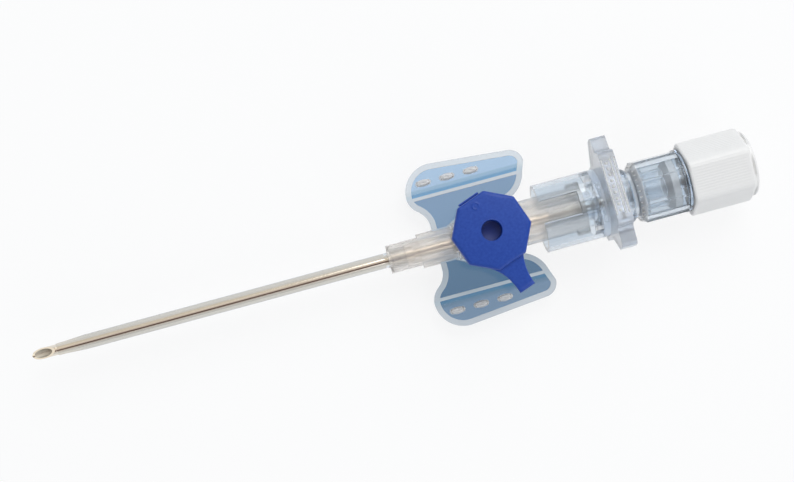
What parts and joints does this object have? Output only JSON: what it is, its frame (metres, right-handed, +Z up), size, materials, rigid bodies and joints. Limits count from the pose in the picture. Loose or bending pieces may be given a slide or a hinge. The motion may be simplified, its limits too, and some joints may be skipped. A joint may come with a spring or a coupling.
{
  "type": "iv cannula",
  "caption": "Winged intravenous cannula with a ported hub, steel needle, soft catheter tube, clear grip hub, flash chamber and white luer stopper.",
  "frame": {"origin": "centre of the hub's nose face, on the cannula's axis, where the catheter tube comes out", "axes": "+X along the cannula from the needle's point towards the stopper, +Z up through the injection port, +Y to the side"},
  "size_m": [0.1084, 0.0248, 0.0156],
  "materials": {
    "needle_steel": "satin ground steel tube",
    "tube_polymer": "clear soft polymer",
    "hub_plastic": "milky clear moulding",
    "clear_plastic": "water clear moulding",
    "valve_silicone": "soft translucent silicone",
    "cap_blue": "satin blue moulding",
    "filter_fibre": "porous white sinter",
    "stopper_white": "satin white moulding"
  },
  "bodies": {
    "cannula": {"catheter_hub": "hub_plastic", "catheter_tube": "tube_polymer", "catheter_ferrule": "needle_steel", "port_valve": "valve_silicone", "port_cap_ring": "cap_blue"},
    "cap": {"port_cap": "cap_blue"},
    "needle_unit": {"needle": "needle_steel", "needle_hub": "clear_plastic"},
    "flash_unit": {"flash_chamber": "clear_plastic", "vent_filter": "filter_fibre", "chamber_luer_end": "clear_plastic"},
    "stopper": {"luer_stopper": "stopper_white"}
  },
  "joints": [
    {"name": "needle_withdraw", "type": "slide", "parent": "cannula", "child": "needle_unit", "axis": [1, 0, 0], "range_m": [0, 0.088]},
    {"name": "port_cap_flip", "type": "hinge", "parent": "cannula", "child": "cap", "pos_m": [0.01318, 0.00514, 0.0058], "axis": [-0.9426, -0.3338, 0], "range_deg": [0, 115]},
    {"name": "flash_chamber_pull", "type": "slide", "parent": "needle_unit", "child": "flash_unit", "axis": [1, 0, 0], "range_m": [0, 0.008]},
    {"name": "stopper_pull", "type": "slide", "parent": "flash_unit", "child": "stopper", "axis": [1, 0, 0], "range_m": [0, 0.009]}
  ]
}
